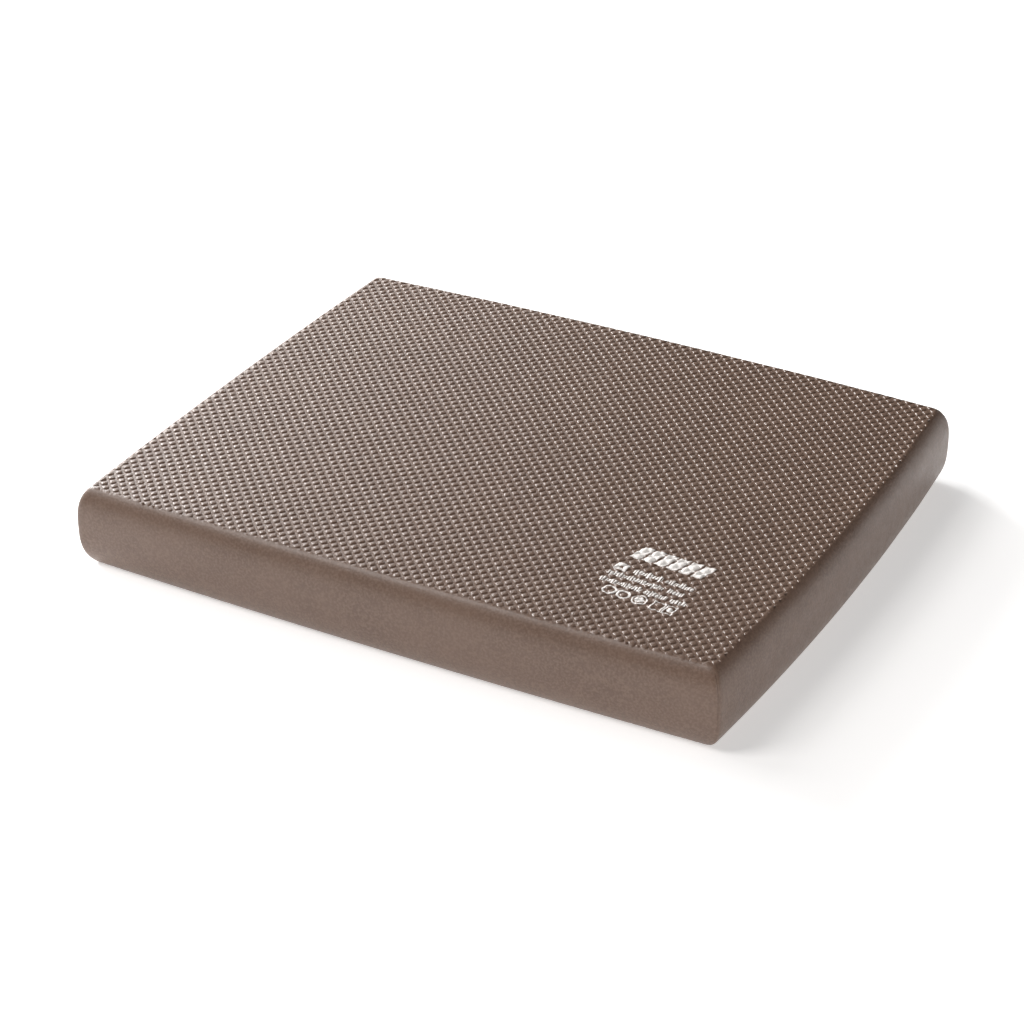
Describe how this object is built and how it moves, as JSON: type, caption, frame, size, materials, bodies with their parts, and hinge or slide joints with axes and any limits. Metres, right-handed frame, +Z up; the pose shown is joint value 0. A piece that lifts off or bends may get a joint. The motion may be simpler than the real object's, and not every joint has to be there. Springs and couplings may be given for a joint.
{
  "type": "balance pad",
  "caption": "Low rectangular foam cushion for balance training, with studded faces, smooth bulging walls with mitred corners, and a small printed block near one corner.",
  "frame": {"origin": "centre of the underside, on the floor", "axes": "+X along the long sides, +Y from the front side to the back side, +Z up out of the printed face"},
  "size_m": [0.5, 0.41, 0.06],
  "materials": {
    "foam_core": "matte",
    "studded_skin": "matte",
    "wall_skin": "matte",
    "white_ink": "matte"
  },
  "bodies": {
    "base": {"foam_core": "foam_core", "bottom_skin": "studded_skin", "front_wall_skin": "wall_skin", "right_wall_skin": "wall_skin", "back_wall_skin": "wall_skin", "left_wall_skin": "wall_skin"},
    "top": {"top_skin": "studded_skin", "print_mark": "white_ink", "print_lines": "white_ink", "print_icons": "white_ink"}
  },
  "joints": [
    {"name": "foam_press", "type": "slide", "parent": "base", "child": "top", "axis": [0, 0, 1], "range_m": [-0.03, 0], "stiffness_N_per_m": 28000, "deforming": ["foam_core", "front_wall_skin", "right_wall_skin", "back_wall_skin", "left_wall_skin"]}
  ]
}
